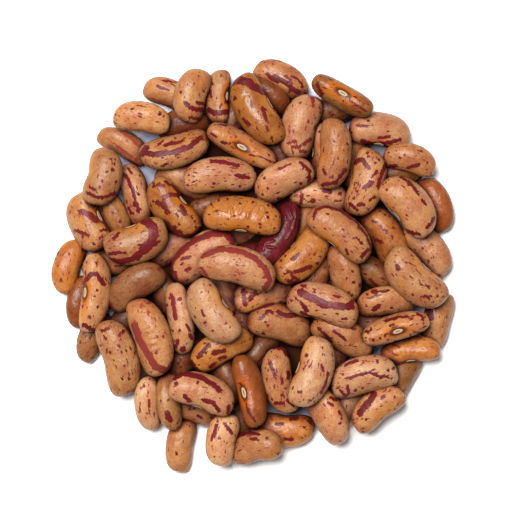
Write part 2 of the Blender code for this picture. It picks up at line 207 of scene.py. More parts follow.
topBeans = [
    bean("fawn", (102, 177), 255, (58, 36), 0, tone=-0.1, marks=[
        (1.3, 90, 187, 95, 190), (1.5, 88, 193, 96, 197, 103, 198), (1.3, 106, 197, 115, 193),
        (1.2, 111, 159), (1.2, 114, 164), (1.6, 113, 170), (1.2, 107, 172), (1.2, 116, 182)]),
    bean("rosy", (238, 268), 346, (78, 38), -5, faded=0.35, marks=[
        (2.5, 203, 256, 220, 249, 240, 251, 255, 258, 265, 268, 270, 280, 265, 288),
        (1.2, 202, 268, 207, 275), (1, 238, 265), (1, 264, 277), (1, 254, 282), (1, 263, 286)]),
    bean("fawn", (280, 381), 102, (68, 33), -10, tone=0.3, marks=[
        (2, 272, 347, 282, 348, 290, 357), (1.8, 270, 363, 272, 369, 275, 375), (1.5, 288, 372, 288, 378),
        (1.3, 282, 378, 282, 383), (1.5, 275, 403, 283, 403), (1.5, 287, 400, 293, 405), (1.3, 285, 388),
        (1.3, 282, 395)]),
    bean("pale", (312, 372), 251, (72, 38), 10, marks=[
        (1.3, 321, 365, 323, 370), (1, 328, 372, 325, 384, 320, 392), (1.2, 298, 391, 301, 391),
        (1.6, 307, 355), (1.3, 321, 347), (1.3, 323, 354), (1.2, 310, 399)]),
    bean("pale", (364, 377), 15, (68, 40), -10, marks=[
        (1.3, 346, 378, 358, 374, 370, 372, 381, 376, 387, 376), (1.1, 344, 366, 350, 362, 357, 360),
        (1.4, 340, 390, 345, 396, 349, 393, 347, 386), (1.5, 377, 361), (1.3, 388, 370), (1.3, 393, 368),
        (1.5, 337, 387), (1.5, 355, 390)]),
    bean("brown", (340, 233), 322, (74, 36), 12, marks=[
        (1.1, 313, 217, 316, 210, 325, 207, 340, 211, 355, 222, 365, 235, 371, 250),
        (1.6, 361, 257, 367, 250), (1.3, 345, 250, 347, 254), (1.8, 360, 243), (1.1, 357, 229),
        (1.1, 355, 238), (1.2, 368, 243), (1, 342, 230)]),
    bean("fawn", (366, 182), 255, (70, 36), 8, marks=[
        (2, 356, 163, 359, 160, 363, 160, 369, 168), (1.5, 386, 164, 381, 177, 378, 187),
        (1.2, 372, 178, 377, 172), (2.3, 365, 188, 372, 183), (1.3, 370, 200, 375, 197),
        (1.2, 350, 203, 355, 208), (1.5, 358, 205, 364, 205), (1.5, 357, 191), (1.3, 357, 183),
        (1.3, 368, 153), (1.3, 379, 160), (1.4, 358, 210), (1.4, 368, 209), (1.3, 354, 198)]),
    bean("fawn", (415, 279), 137, (74, 40), 10, tone=0.2, marks=[
        (1.7, 396, 266, 397.5, 269), (1.2, 425.5, 285.5, 428.5, 288), (1.2, 424, 296, 428.5, 298),
        (1.2, 435.9, 296.9), (0.9, 419.5, 296.9), (0.9, 440, 291.8), (0.9, 431.8, 302), (0.7, 421, 290),
        (0.7, 394, 262), (0.8, 436, 288), (0.5, 413, 272), (0.8, 442, 297)]),
    bean("fawn", (408, 206), 310, (70, 39), 5, tone=0.45, marks=[
        (1.3, 400, 177, 410, 184, 418, 195), (1.2, 421, 200, 424, 205),
        (1.5, 405, 230, 412, 233, 418, 234), (1.3, 425, 228, 430, 223, 433, 218)]),
    bean("brown", (333, 154), 266, (70, 34), 5, marks=[
        (1.2, 323, 170, 325, 175), (1.5, 322, 185, 335, 183, 345, 170), (1.2, 347, 145)]),
    bean("rosy", (301, 127), 73, (68, 38), -20, faded=0.35, marks=[
        (1.4, 288, 144, 295, 142), (1.5, 303, 145, 310, 140), (1.4, 292, 148, 300, 147),
        (1.4, 300, 152, 305, 152), (1.3, 314, 129, 319, 124), (1.5, 309, 96, 313, 99, 313, 106),
        (1.1, 289, 127), (0.8, 288, 130), (1, 293, 132), (0.9, 306, 105), (0.9, 308, 123), (0.8, 312, 124),
        (0.9, 315, 119), (1.3, 293, 153)]),
    bean("ochre", (243, 217), 354, (78, 38), 15, folds=[
        (1.3, 234, 204, 232, 210, 233, 216), (1.1, 239, 202, 236, 207),
        (1.4, 246, 203, 242, 209, 240, 214), (1.5, 255, 205, 251, 210, 248, 214, 248, 218),
        (1.2, 257, 213, 258, 209, 261, 207, 264, 210, 263, 215, 259, 219),
        (1.2, 265, 216, 267, 221, 270, 225), (1.1, 222, 205, 223, 211), (1.2, 227, 203, 227, 212)], marks=[
        (1.3, 260.3, 224.7), (0.9, 260.8, 227.8), (0.9, 274.7, 228.3), (1.2, 248.5, 227.6),
        (0.9, 235.2, 216.5), (1.1, 267, 213), (1.3, 267.6, 217.5), (0.8, 240.3, 204.2), (1, 253.1, 202.7),
        (1.2, 268.5, 205.8), (1, 273.1, 207.3), (0.6, 276.2, 217), (1, 258.8, 232.9), (0.9, 212, 205),
        (1, 219, 200.5), (1, 228, 199.5)]),
    bean("pale", (213, 312), 125, (70, 38), 10, tone=0, marks=[
        (1, 203, 310, 205, 315), (1.2, 202, 292), (1.4, 206, 322), (1.1, 226, 323), (1.1, 234, 315),
        (1.1, 213, 330)]),
    bean("rosy", (202, 393), 341, (68, 36), 5, marks=[
        (2.2, 172, 378, 185, 373, 200, 376, 215, 385, 220, 390), (1.8, 185, 395, 190, 400),
        (1.8, 204, 399, 214, 402, 219, 410), (1.5, 229, 405, 228, 412), (2, 177, 383), (1.3, 198, 382)]),
    bean("chestnut", (250, 391), 283, (74, 34), 64, marks=[
        (0.9, 246, 403, 249, 412, 255, 420), (1.3, 240, 383)]),
    bean("fawn", (137, 241), 200, (66, 40), 5, tone=-0.1, marks=[
        (4.4, 142, 217.6, 148.3, 222, 153.7, 227, 154.6, 235, 151.5, 243, 144, 250),
        (3.5, 144, 250, 138, 256), (2.6, 138, 256, 128.5, 260, 120.4, 262, 111, 260),
        (1.3, 160, 241, 155.5, 244.5), (1.4, 114.5, 238.5, 119, 233), (1.3, 109.5, 253.5, 122, 252.5),
        (1.4, 125.8, 252.1), (1.3, 139.3, 244.5), (1.1, 136.8, 227.4)]),
    bean("amber", (173, 209), 130, (68, 36), 25, tone=-0.1, marks=[
        (1.9, 181, 196.6, 175.7, 194.8, 169.4, 194.8, 164, 197, 163.6, 200.6, 164.9, 206, 166.7, 213),
        (2.1, 157, 202.4, 161.3, 205, 164.5, 208), (2.3, 182, 207, 185, 214),
        (1.4, 153.3, 187.2, 157.3, 185, 163, 185.8), (1.2, 165, 181.8, 173, 186.3, 177.5, 191.7),
        (1.5, 174, 227.6, 176.2, 231.2, 181, 232.5), (1.2, 176.8, 213.8, 178.5, 217),
        (1.8, 169.4, 232, 175.7, 234.8, 182, 236.5, 191.9, 235.7, 199.9, 228.5), (0.8, 170.8, 212.3),
        (1, 152.8, 201.5), (1, 150.6, 206), (1.2, 194.6, 221.7), (0.8, 198.1, 224), (0.9, 195.4, 227.1),
        (0.9, 192.8, 215.9), (0.9, 178.8, 224.9)]),
    bean("fawn", (150, 337), 288, (80, 39), -25, tone=0.5, faded=0.45, folds=[
        (1.1, 144, 328, 149, 326), (1.1, 146, 331, 153, 330), (1.1, 150, 337, 156, 336),
        (1.1, 150, 343, 155, 342), (1.2, 149, 350, 158, 348)], marks=[
        (3.5, 135, 325, 140, 340, 148, 352, 155, 365, 168, 372, 175, 362), (1.3, 148, 303, 153, 300),
        (1.3, 142, 305), (1.2, 149, 312), (1.2, 158, 336), (1.2, 164, 336), (1.3, 157, 352)]),
    bean("brown", (135, 287), 36, (67, 36), -20, tone=-0.5, faded=0.35, marks=[
        (1.8, 146.5, 260.5, 151, 259.5, 155, 261), (1.4, 110, 303, 112, 308), (0.9, 104, 305, 107, 309),
        (1.6, 159.5, 269.2), (1, 118.5, 300), (0.8, 115, 297), (0.8, 128, 276), (0.8, 130, 291)]),
    bean("fawn", (175, 149), 197, (72, 38), -10, tone=0.25, marks=[
        (2.6, 143, 152, 155, 155, 172, 153, 190, 147, 200, 138), (3, 146, 148, 142, 154),
        (1.5, 165, 146, 182, 141), (1.2, 167, 134, 180, 132, 191, 128), (1.2, 152, 139, 159, 136),
        (1, 158, 145, 163, 141), (1.2, 162, 166, 168, 163), (1.2, 175, 138)]),
    bean("rosy", (323, 305), 342, (74, 38), -10, marks=[
        (3.7, 300.4, 292.6, 307.6, 296.5, 318.8, 301.7), (4.1, 318.8, 301.7, 323, 304.2),
        (3.2, 323, 304.2, 333.2, 305.6, 342.4, 306.6, 350.4, 306.8), (2, 349, 303.6, 352, 302.2),
        (1.4, 299.9, 302.2, 303.5, 306.8), (2.2, 303.5, 306.8, 306, 311), (1, 333.2, 295.5, 338.8, 298.1),
        (0.8, 294.2, 298.6, 298.3, 302.2), (1.1, 300.4, 312.4, 308.6, 316, 317.8, 320.1),
        (1, 318.8, 319.6, 326, 322.4), (1.1, 341.4, 319.1, 346.5, 318.9), (1.4, 301.5, 286.2, 305, 286.6),
        (1.3, 314.2, 290.9), (0.7, 323.5, 293.3), (0.7, 317.8, 287.6), (1, 308.6, 320.1),
        (0.8, 330.1, 322.4), (0.9, 291.2, 301.2)]),
    bean("fawn", (395, 328), 16, (68, 32), 72, tone=0.6, marks=[
        (1.3, 384.7, 321.3, 389.9, 319.2, 396, 317.2), (1.1, 388.8, 325.4, 393, 324.9),
        (1, 396, 316.7, 406.3, 316.7, 410.9, 318.7), (1.1, 416.5, 313.6, 420.6, 316.2, 421.7, 319.7),
        (0.7, 412.4, 331.5, 420.6, 333.1), (1.9, 366.3, 331.5), (0.8, 365.3, 337.2), (1.3, 372.4, 339.7),
        (0.8, 370.4, 328.5), (1.2, 386.8, 339.7), (1, 383.7, 335.6), (0.9, 379, 337.5), (0.8, 394, 340.8),
        (0.9, 409.4, 335.1), (0.7, 422.2, 322.8), (0.8, 423.2, 326.9)]),
    bean("rosy", (220, 177), 2, (74, 36), 0, marks=[
        (1.9, 212, 162, 225, 163, 238, 166), (1.7, 236, 176, 249, 178), (1.1, 214, 184), (1.1, 233, 185),
        (1.1, 240, 187), (1.1, 188, 186)]),
    bean("brown", (242, 145), 332, (76, 34), 72, tone=0.75, marks=[
        (1.2, 219, 125, 226, 125), (1.2, 222, 142, 227, 144), (1.2, 212, 134, 216, 137),
        (0.7, 250, 155, 262, 158, 275, 163), (1, 236, 138), (1, 231, 138), (1, 269, 155), (1.3, 230, 144)]),
]
beanList = [{**row, "level": level} for level, layer in enumerate((lowBeans, middleBeans, topBeans))
            for row in layer]


def asArrays(beans):
    seen = np.array([[*row["at"], row["heading"], *row["size"], row["turn"]] for row in beans], float)
    level = np.array([row["level"] for row in beans])
    return seen, level


# The beans settle here exactly as they do in the solid
settling = {
    "startHeights": (3.4e-3, 7.0e-3, 11.5e-3),
    "startStep": 0.03e-3,
    "givesWay": (0.5, 0.25, 0.1),
    "balls": (-0.74, -0.4, 0.0, 0.4, 0.74),
    "ballShare": 0.92,
    "reach": 19e-3,
    "rounds": 260,
    "sink": 0.12e-3,
    "stiff": 0.7,
    "levelling": 0.06,
    "homing": 0.08,
    "headingHold": 0.12,
}


def turning(axis, angle):
    axis = np.broadcast_to(np.asarray(axis, float), (len(angle), 3))
    cross = np.zeros((len(angle), 3, 3))
    cross[:, [2, 0, 1], [1, 2, 0]] = axis
    cross[:, [1, 2, 0], [2, 0, 1]] = -axis
    sine, cosine = np.sin(angle)[:, None, None], np.cos(angle)[:, None, None]
    return np.eye(3) + sine * cross + (1 - cosine) * cross @ cross


def bluntRadius(along):
    return (1 - np.abs(along) ** layout["blunt"]) ** (1 / layout["blunt"])


def bow(along, length):
    # how far a bean's middle line lies to the side that its eye isn't on
    return layout["bend"] * length * (layout["belly"] - along**2)


def ballRows(beans, rule):
    # a row of balls stands for each bean while the beans settle, and when their shade is worked out
    seen, _ = asArrays(beans)
    length, width = seen[:, 3, None] * layout["pixel"], seen[:, 4, None] * layout["pixel"]
    balls = np.array(rule["balls"])
    side = bow(balls, length)
    rows = np.stack([balls * length / 2, side, 0 * side], axis=-1)
    return rows, width * (1 + layout["thick"]) / 4 * bluntRadius(balls) * rule["ballShare"]


def settleBeans(beans, rule):
    seen, level = asArrays(beans)
    count = len(beans)
    pixel, middle = layout["pixel"], layout["middle"]
    start = np.array(rule["startHeights"])[level] + rule["startStep"] * np.arange(count)
    place = np.column_stack([(seen[:, 0] - middle) * pixel, (middle - seen[:, 1]) * pixel, start])
    heading, turn = np.radians(seen[:, 2]), np.radians(seen[:, 5])
    give = np.array(rule["givesWay"])[level]
    rows, radius = ballRows(beans, rule)
    radius = radius.ravel()
    apart = np.hypot(*(place[:, None, :2] - place[None, :, :2]).transpose(2, 0, 1))
    first, second = np.nonzero(np.triu(apart < rule["reach"], 1))
    balls = rows.shape[1]
    number = np.arange(balls)
    one = (first[:, None, None] * balls + number[:, None] + 0 * number).ravel()
    other = (second[:, None, None] * balls + number[None, :] + 0 * number[:, None]).ravel()

    home = place[:, :2].copy()
    spin = turning((0, 0, 1), heading) @ turning((1, 0, 0), -turn)
    for step in range(rule["rounds"]):
        arm = rows @ spin.transpose(0, 2, 1)
        point = (place[:, None] + arm).reshape(-1, 3)
        gap = point[one] - point[other]
        far = np.linalg.norm(gap, axis=1) + 1e-9
        over = radius[one] + radius[other] - far
        hit = over > 0
        share = 0.5 * gap[hit] * (over[hit] / far[hit])[:, None]
        push = np.zeros_like(point)
        np.add.at(push, one[hit], share)
        np.add.at(push, other[hit], -share)
        push[:, 2] += np.clip(radius - point[:, 2], 0, None)
        push = push.reshape(arm.shape)
        touching = np.maximum((np.abs(push).sum(axis=2) > 0).sum(axis=1), 1)
        move = rule["stiff"] * push.sum(axis=1) / touching[:, None]
        move[:, 2] -= rule["sink"] * (1 - step / rule["rounds"]) ** 0.5
        move[:, :2] = move[:, :2] * give[:, None] + rule["homing"] * (home - place[:, :2])
        twist = rule["stiff"] * np.cross(arm, push).sum(axis=1) / (arm**2).sum(axis=(1, 2))[:, None]
        ahead = spin[:, :, 0]
        twist += rule["levelling"] * np.cross(ahead, ahead * (1, 1, 0))
        astray = heading - np.arctan2(ahead[:, 1], ahead[:, 0])
        astray = (astray + math.pi) % (2 * math.pi) - math.pi
        twist[:, 2] = twist[:, 2] * give + rule["headingHold"] * astray
        place += move
        angle = np.linalg.norm(twist, axis=1) + 1e-12
        spin = turning(twist / angle[:, None], angle) @ spin
    return place, spin, home


places, spins, homes = settleBeans(beanList, settling)
print("beans settled:", len(beanList), "highest middle", round(float(places[:, 2].max()) * 1000, 2), "mm")


# A bean's surface as a grid: rings from end to end, each ring once round, and a point at either end
beanGrid = {
    "grid": (62, 72),
    "lowerGrid": (38, 44),              # for the lower beans, which hardly show
    "foldedGrid": (118, 136),           # a wrinkled bean has a finer grid
    "tipSlope": 0.6,                    # how far the unevenness pushes an end outwards
    "lump": 0.10e-3,                    # slow unevenness of the whole form
    "lumpScale": 3.2,
    "crease": 0.04e-3,                  # fine puckers that every skin has a little of
    "creaseScale": 5200,
    "creaseStretch": (1.0, 0.45, 0.45),
    "fold": 0.30e-3,                    # height of the folds of a wrinkled bean
    "foldEdge": 1.2,                    # and how wide their slopes are, in pixels
    "seenFrom": -0.25e-3,               # markings read from above lie higher than this against the middle
    "hiddenBelow": -0.4e-3,             # and the large seeded ones lower than this
    "endFade": 0.5,                     # how the flush on the eye's side fades towards the ends
}


def gridSphere(rings, around):
    slope = np.linspace(0, math.pi, rings + 2)[1:-1]
    circle = np.linspace(0, 2 * math.pi, around, endpoint=False)
    slope, circle = np.meshgrid(slope, circle, indexing="ij")
    ring = np.stack([np.cos(slope), np.sin(slope) * np.cos(circle), np.sin(slope) * np.sin(circle)], -1)
    return np.vstack([ring.reshape(-1, 3), (1, 0, 0), (-1, 0, 0)])


def gridFaces(rings, around, flip=False):
    # quads between rings, then the fans at both ends; each with its place on the unrolled skin
    ring, side = np.meshgrid(np.arange(rings - 1), np.arange(around), indexing="ij")
    ring, side = ring.reshape(-1, 1) + (0, 1, 1, 0), side.reshape(-1, 1) + (0, 0, 1, 1)
    quads = ring * around + side % around
    quadMap = np.stack([side / around, (ring + 1) / (rings + 1)], -1)
    side = np.arange(around).reshape(-1, 1)
    tip, last, after = rings * around, (rings - 1) * around, (side + 1) % around
    fans = np.vstack([np.hstack([0 * side + tip, side, after]),
                      np.hstack([0 * side + tip + 1, last + after, last + side])])
    across = np.vstack([side + (0.5, 0, 1), side + (0.5, 1, 0)]) / around
    along = np.repeat([(0, 1, 1), (rings + 1, rings, rings)], around, axis=0) / (rings + 1)
    faces = {"quads": quads, "quadMap": quadMap, "fans": fans, "fanMap": np.stack([across, along], -1)}
    return {key: value[:, ::-1] for key, value in faces.items()} if flip else faces


def waves(points, draw, scale, count=7, spread=(0.6, 1.5)):
    # smooth uneven waves, about -1 to 1, as a sum of a few tilted sines
    total = np.zeros(len(points))
    for _ in range(count):
        way = draw.normal(size=3)
        way *= scale * draw.uniform(*spread) / np.linalg.norm(way)
        total += np.sin(points @ way + draw.uniform(0, 2 * math.pi))
    return total / math.sqrt(count)


def hollowShare(along, side):
    # 1 in the middle of the hollow that the eye sits in, falling to 0 round it
    return np.exp(-((along / layout["dentRun"]) ** 2)) * np.clip(side, 0, 1) ** 4


def beanForm(sphere, length, width, draw):
    along = np.clip(sphere[:, 0], -1, 1)
    ringRadius = np.maximum(np.hypot(sphere[:, 1], sphere[:, 2]), 1e-9)
    side, flat = sphere[:, 1] / ringRadius, sphere[:, 2] / ringRadius
    nearEye = hollowShare(along, -side)
    form = np.stack([along * length / 2,
                     side * bluntRadius(along) * width / 2 + bow(along, length) + layout["dent"] * nearEye,
                     flat * bluntRadius(along) * layout["thick"] * width / 2], 1)
    outward = np.stack([beanGrid["tipSlope"] * along, side * ringRadius, flat * ringRadius], 1)
    outward /= np.linalg.norm(outward, axis=1)[:, None]
    lift = beanGrid["lump"] * waves(sphere, draw, beanGrid["lumpScale"])
    creases = waves(form * beanGrid["creaseStretch"], draw, beanGrid["creaseScale"])
    lift -= beanGrid["crease"] * np.clip(creases, 0, None)
    lift *= 1 - nearEye  # calm where the eye sits
    return form + outward * lift[:, None], outward


def markDepth(points, marks):
    # how far inside a marking each point is, in pixels: positive inside, negative outside
    depth = np.full(len(points), layout["unmarked"])
    for half, *stops in marks:
        stops = np.reshape(np.array(stops, float), (-1, 2))
        for a, b in zip(stops, stops[1:] if len(stops) > 1 else stops):
            run = b - a
            t = np.clip((points - a) @ run / max(run @ run, 1e-9), 0, 1)
            depth = np.maximum(depth, half - np.linalg.norm(points - (a + t[:, None] * run), axis=1))
    return depth


# Streaks that the photograph doesn't show: on undersides, sides and beans that lie below
hiddenMarks = {
    "streaks": (5, 9),
    "flecks": (10, 20),
    "halfWidth": (0.16e-3, 0.42e-3),
    "run": (1.0e-3, 4.2e-3),
    "fleck": (0.12e-3, 0.3e-3),
    "stray": 0.35,                      # how far a streak strays from the bean's length
    "taper": 0.4,
    "fleckStretch": (0.6, 1.0, 1.0),
}
# and small ones among those that it does show
smallMarks = {
    **hiddenMarks,
    "streaks": (0, 1),
    "flecks": (10, 28),
    "halfWidth": (0.1e-3, 0.2e-3),
    "run": (0.5e-3, 1.0e-3),
    "fleck": (0.06e-3, 0.2e-3),
}


def seededDepth(form, draw, allowed, rule, amount):
    depth = np.full(len(form), layout["unmarked"] * layout["pixel"])
    spots = np.nonzero(allowed)[0]
    if len(spots) == 0:
        return depth
    for _ in range(int(draw.integers(*rule["streaks"]) * amount)):
        start = form[draw.choice(spots)]
        way = np.array([1.0, rule["stray"] * draw.normal(), rule["stray"] * draw.normal()])
        way = way * draw.uniform(*rule["run"])
        end = form[np.argmin(np.linalg.norm(form - start - way, axis=1))]
        run = end - start
        t = np.clip((form - start) @ run / max(run @ run, 1e-12), 0, 1)
        away = np.linalg.norm(form - start - t[:, None] * run, axis=1)
        depth = np.maximum(depth, draw.uniform(*rule["halfWidth"]) * (1 - rule["taper"] * t) - away)
    for _ in range(int(draw.integers(*rule["flecks"]) * amount)):
        spot = form[draw.choice(spots)]
        away = np.linalg.norm((form - spot) * rule["fleckStretch"], axis=1)
        depth = np.maximum(depth, draw.uniform(*rule["fleck"]) - away)
    return depth


# The shade that beans cast on each other, as the share of the sky that each point sees past the others
shelter = {
    "rays": 40,
    "lowest": 0.12,         # the rays' lowest rise, and the part above it that they fill
    "spread": 0.85,
    "grazing": 0.02,        # least weight of a ray that comes from behind the skin
    "reach": 24e-3,
    "low": 0.04,            # what is left of the colour where no sky is seen
    "full": 0.61,           # where this share is seen, the colour is whole
    "green": 1.42,          # how much faster green and blue fade than red
    "blue": 1.4,
}
ballArms, ballSizes = ballRows(beanList, settling)
ballPlaces = places[:, None] + ballArms @ spins.transpose(0, 2, 1)


def skyRays(count):
    # directions spread evenly over the upper half, as on a sunflower, a little up from level
    turn = np.arange(count) * math.pi * (3 - math.sqrt(5))
    rise = (np.arange(count) + 0.5) / count * shelter["spread"] + shelter["lowest"]
    level = np.sqrt(1 - rise**2)
    return np.stack([level * np.cos(turn), level * np.sin(turn), rise], 1)


def openShare(points, outward, number):
    near = np.nonzero(np.linalg.norm(places - places[number], axis=1) < shelter["reach"])[0]
    near = near[near != number]
    middles, radius = ballPlaces[near].reshape(-1, 3), ballSizes[near].ravel()
    away = (points**2).sum(1)[:, None] + (middles**2).sum(1) - 2 * points @ middles.T - radius**2
    seen, total = np.zeros(len(points)), np.zeros(len(points))
    for ray in skyRays(shelter["rays"]):
        ahead = middles @ ray - (points @ ray)[:, None]
        blocked = ((ahead > 0) & (ahead**2 > away)).any(axis=1)
        facing = np.clip(outward @ ray, shelter["grazing"], None)
        seen += facing * ~blocked
        total += facing
    return seen / total


# The skins: the ground colour lit and deep, its amber flush, the streaks, the share of seeded marks,
# how rough the sheen is, and how strong the puckers are
def skinOf(light, deep, flush, streak, loose=1.0, sheen=0.40, pucker=0.6):
    return {"light": light, "deep": deep, "flush": flush, "streak": streak, "loose": loose, "sheen": sheen,
            "pucker": pucker}


skins = {
    "rosy": skinOf((150, 109, 76), (135, 82, 54), (152, 99, 44), (66, 4, 14)),
    "tan": skinOf((148, 106, 67), (131, 80, 48), (150, 95, 38), (64, 5, 13)),
    "fawn": skinOf((149, 106, 68), (132, 80, 49), (150, 96, 39), (64, 5, 12), sheen=0.39),
    "pale": skinOf((159, 122, 88), (145, 96, 66), (156, 107, 54), (72, 12, 22), 0.8, 0.42),
    "amber": skinOf((150, 99, 51), (130, 72, 31), (146, 84, 20), (62, 10, 10), 0.9, 0.36),
    "ochre": skinOf((146, 92, 44), (129, 72, 31), (144, 86, 24), (66, 9, 14), 1.0, 0.28, 0.35),
    "brown": skinOf((141, 95, 59), (121, 70, 41), (140, 84, 32), (62, 9, 15), 0.9, 0.38),
    "chestnut": skinOf((124, 68, 34), (99, 47, 18), (116, 54, 14), (59, 16, 12), 0.0, 0.34),
    "crimson": skinOf((105, 28, 31), (67, 10, 18), (84, 20, 24), (48, 4, 13), 0.6, 0.42, 0.45),
    # the shade skin is a darker copy of the others: painted shade for beans that lie low in the heap
    "shade": skinOf((136, 90, 53), (113, 68, 33), (128, 74, 30), (64, 11, 14), 1.0, 0.42),
}

# What all skins share. A noise is (scale per millimetre, detail, roughness), and a range says which of its
# values become which: (from low, from high, to low, to high), 0 to 1 where the last two are left out
skinLook = {
    "stretch": (0.35, 1.0, 1.0),            # fibres and streaks run along the bean
    "clouds": (0.34, 3.0),
    "cloudRange": (0.36, 0.66),
    "blush": (0.2, 2.0),
    "blushRange": (0.52, 0.74, 0.0, 0.6),
    "fibres": (2.4, 4.0),
    "fibreRange": (0.3, 0.75, 0.0, 0.55),
    "mottle": (3.4, 2.0),
    "mottleRange": (0.3, 0.7, 0.76, 1.21),
    "toneRange": (-1.0, 1.0, 0.44, 1.16),   # a bean's tone darkens or lightens it: partly its own colour, partly painted shade and light where it lies low
    "flushSpread": (0.3, 0.7, -0.22, 0.22),
    "flushRange": (0.55, 1.0, 0.0, 0.6),
    "eyeZone": (140, 68, 10),               # orange-brown round the eye
    "zoneRange": (1.4, 3.4, 0.8, 0.0),
    "eyeRing": (66, 28, 10),                # and dark close to it
    "ringRange": (1.15, 1.9, 0.95, 0.0),
    "feathers": (2.4, 4.0, 0.6),            # streaks have feathered edges
    "featherRange": (0.25, 0.75, -0.30, 0.30),
    "streakEdge": (-0.12, -0.03, 0.0, 0.97),
    "streakTone": (0.3, 0.7),
    "streakLift": 1.25,                     # how much lighter a streak is in its light parts
    "fadedStreak": (124, 52, 40),
    "tiny": (2.1, 1.0, 0.5),                # flecks finer than the mesh come in drifts
    "tinyDrift": 0.22,
    "tinyEdge": (0.803, 0.823, 0.0, 0.92),
    "pores": (5.5, 3.0, 0.6),
    "poreRange": (0.3, 0.7),
    "sheenBelow": 0.11,
    "sheenAbove": 0.01,
    "streakDull": 0.10,                     # streaks are duller, and so is the skin in deep shade
    "shadeDull": (0.1, 0.5, 0.30, 0.0),
    "puckers": (1.5, 2.0, 0.5),
    "poreShare": 0.14,
    "bumpHeight": 0.17e-3,
    "ior": 1.48,
    "gloss": 0.15,
}


def paint(red, green, blue):
    # screen colour to the linear colour that the shader works in
    return (*[c / 255 / 12.92 if c / 255 <= 0.04045 else ((c / 255 + 0.055) / 1.055) ** 2.4
              for c in (red, green, blue)], 1.0)


nodeGrid = {"rows": 8, "step": 240}  # where the nodes lie in Blender's editor


def newMaterial(name):
    material = bpy.data.materials.new(name)
    material.use_nodes = True
    return material, material.node_tree, material.node_tree.nodes["Principled BSDF"]


def addNode(tree, kind, **settings):
    node = tree.nodes.new(kind)
    column, row = divmod(len(tree.nodes), nodeGrid["rows"])
    node.location = (nodeGrid["step"] * column, -nodeGrid["step"] * row)
    for key, value in settings.items():
        setattr(node, key, value)
    return node


def fill(tree, sockets, values):
    # a socket takes a link from another socket, or else a plain value
    for socket, value in zip(sockets, values):
        if isinstance(value, bpy.types.NodeSocket):
            tree.links.new(value, socket)
        else:
            socket.default_value = value


def numbers(tree, name, output="Fac"):
    return addNode(tree, "ShaderNodeAttribute", attribute_name=name).outputs[output]


def blendColours(tree, factor, first, second, way="MIX"):
    mix = addNode(tree, "ShaderNodeMix", data_type="RGBA", blend_type=way)
    fill(tree, (mix.inputs[0], mix.inputs[6], mix.inputs[7]), (factor, first, second))
    return mix.outputs[2]


def ramp(tree, value, low, high, bottom=0.0, top=1.0, smooth=True):
    node = addNode(tree, "ShaderNodeMapRange", interpolation_type="SMOOTHSTEP" if smooth else "LINEAR")
    names = ("Value", "From Min", "From Max", "To Min", "To Max")
    fill(tree, [node.inputs[name] for name in names], (value, low, high, bottom, top))
    return node.outputs["Result"]


def blot(tree, where, scale, detail, rough=0.55):
    node = addNode(tree, "ShaderNodeTexNoise")
    fill(tree, [node.inputs[name] for name in ("Vector", "Scale", "Detail", "Roughness")],
         (where, scale, detail, rough))
    return node.outputs["Fac"]


def sums(tree, way, first, second):
    node = addNode(tree, "ShaderNodeMath", operation=way)
    fill(tree, node.inputs, (first, second))
    return node.outputs[0]


def raiseSkin(tree, shader, height, strength, distance):
    bump = addNode(tree, "ShaderNodeBump")
    fill(tree, [bump.inputs[name] for name in ("Strength", "Distance", "Height")],
         (strength, distance, height))
    tree.links.new(bump.outputs[0], shader.inputs["Normal"])


